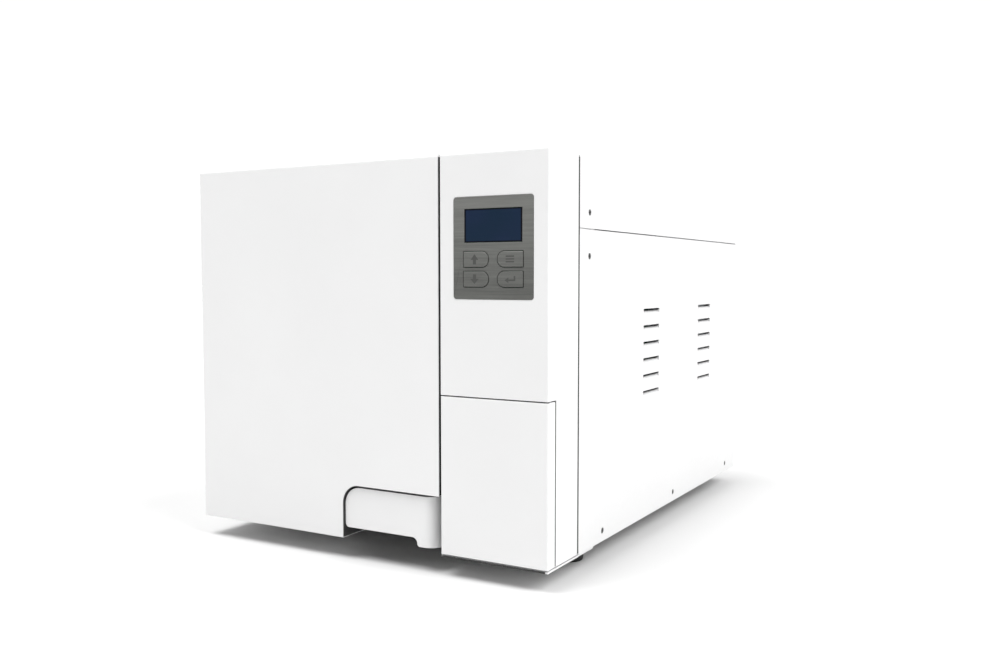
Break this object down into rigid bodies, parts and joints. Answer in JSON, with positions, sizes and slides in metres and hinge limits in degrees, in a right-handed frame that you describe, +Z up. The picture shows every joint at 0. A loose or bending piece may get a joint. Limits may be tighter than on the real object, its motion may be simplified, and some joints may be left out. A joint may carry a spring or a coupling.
{
  "type": "benchtop autoclave",
  "caption": "White front-loading benchtop steam steriliser with a hinged chamber door and lever latch, keypad and display column, service door, louvred housing and rubber feet.",
  "frame": {"origin": "centre of the footprint, on the bench", "axes": "+X to the user's right, +Y from the front to the rear, +Z up"},
  "size_m": [0.446, 0.613, 0.4249],
  "materials": {
    "white_paint": "satin white powder coat with a fine texture",
    "white_moulding": "satin off-white moulded plastic",
    "foot_rubber": "matt black rubber",
    "zinc_steel": "zinc-plated steel",
    "stainless_steel": "brushed stainless steel",
    "cast_metal": "cast grey metal",
    "insulation_felt": "glass-fibre felt",
    "tank_moulding": "natural polythene",
    "black_moulding": "matt black moulded plastic",
    "circuit_board": "green solder mask",
    "brass": "machined brass",
    "brushed_plate": "grey steel, brushed across",
    "display_window": "dark blue glossy window",
    "key_film": "grey, to match the panel round it",
    "filter_moulding": "cream moulded plastic",
    "silicone_seal": "pale silicone rubber"
  },
  "bodies": {
    "chassis": {"base_pan": "white_paint", "front_frame": "white_paint", "top_cover": "white_paint", "side_panel_right": "white_paint", "side_panel_left": "white_paint", "rear_panel": "white_paint", "foot_front_left": "foot_rubber", "foot_front_right": "foot_rubber", "foot_rear_left": "foot_rubber", "foot_rear_right": "foot_rubber", "side_screw_upper": "zinc_steel", "side_screw_middle": "zinc_steel", "side_screw_lower_front": "zinc_steel", "side_screw_lower_centre": "zinc_steel", "side_screw_lower_rear": "zinc_steel", "chamber_vessel": "stainless_steel", "chamber_flange": "stainless_steel", "heater_band": "cast_metal", "insulation_jacket": "insulation_felt", "tray_rack": "stainless_steel", "tray_1": "stainless_steel", "tray_2": "stainless_steel", "tray_3": "stainless_steel", "steam_generator": "stainless_steel", "vacuum_pump": "cast_metal", "water_tank": "tank_moulding", "condenser": "zinc_steel", "fan_frame": "black_moulding", "controller_board": "circuit_board", "power_supply": "cast_metal", "valve_block": "brass", "safety_valve": "brass", "mains_inlet": "black_moulding", "control_bezel": "white_moulding", "control_plate": "brushed_plate", "display_lens": "display_window", "panel_board": "circuit_board", "service_bay": "black_moulding", "drain_port_clean": "brass", "drain_port_waste": "brass", "air_filter": "filter_moulding", "striker_rail": "zinc_steel"},
    "door": {"door_cover": "white_moulding", "door_liner": "zinc_steel", "pressure_plate": "stainless_steel", "door_gasket": "silicone_seal", "door_beam": "zinc_steel", "pressure_screw": "zinc_steel", "hinge_post": "zinc_steel"},
    "lever": {"door_lever": "white_moulding", "latch_shaft": "zinc_steel"},
    "service_flap": {"service_door": "white_moulding"},
    "filler_flap": {"filler_lid": "white_moulding"},
    "rocker": {"power_rocker": "black_moulding"},
    "rotor": {"fan_rotor": "black_moulding"},
    "up_button": {"key_up": "key_film"},
    "down_button": {"key_down": "key_film"},
    "menu_button": {"key_menu": "key_film"},
    "enter_button": {"key_enter": "key_film"}
  },
  "joints": [
    {"name": "door_hinge", "type": "hinge", "parent": "chassis", "child": "door", "pos_m": [-0.213, -0.251, 0.22], "axis": [0, 0, -1], "range_deg": [0, 100]},
    {"name": "lever_pivot", "type": "hinge", "parent": "door", "child": "lever", "pos_m": [0.081, -0.2825, 0.22], "axis": [0, 0, 1], "range_deg": [0, 70]},
    {"name": "service_door_hinge", "type": "hinge", "parent": "chassis", "child": "service_flap", "pos_m": [0.1105, -0.299, 0.1], "axis": [0, 0, -1], "range_deg": [0, 90]},
    {"name": "filler_lid_hinge", "type": "hinge", "parent": "chassis", "child": "filler_flap", "pos_m": [0.144, 0.1695, 0.4219], "axis": [-1, 0, 0], "range_deg": [0, 100]},
    {"name": "power_rocker_pivot", "type": "hinge", "parent": "chassis", "child": "rocker", "pos_m": [0.19, -0.1675, 0.14], "axis": [1, 0, 0], "range_deg": [0, 16]},
    {"name": "fan_spin", "type": "hinge", "parent": "chassis", "child": "rotor", "pos_m": [-0.13, 0.2795, 0.315], "axis": [0, 1, 0], "continuous": true},
    {"name": "key_up_press", "type": "slide", "parent": "chassis", "child": "up_button", "axis": [0, 1, 0], "range_m": [0, 0.0006], "stiffness_N_per_m": 1500},
    {"name": "key_down_press", "type": "slide", "parent": "chassis", "child": "down_button", "axis": [0, 1, 0], "range_m": [0, 0.0006], "stiffness_N_per_m": 1500},
    {"name": "key_menu_press", "type": "slide", "parent": "chassis", "child": "menu_button", "axis": [0, 1, 0], "range_m": [0, 0.0006], "stiffness_N_per_m": 1500},
    {"name": "key_enter_press", "type": "slide", "parent": "chassis", "child": "enter_button", "axis": [0, 1, 0], "range_m": [0, 0.0006], "stiffness_N_per_m": 1500}
  ]
}
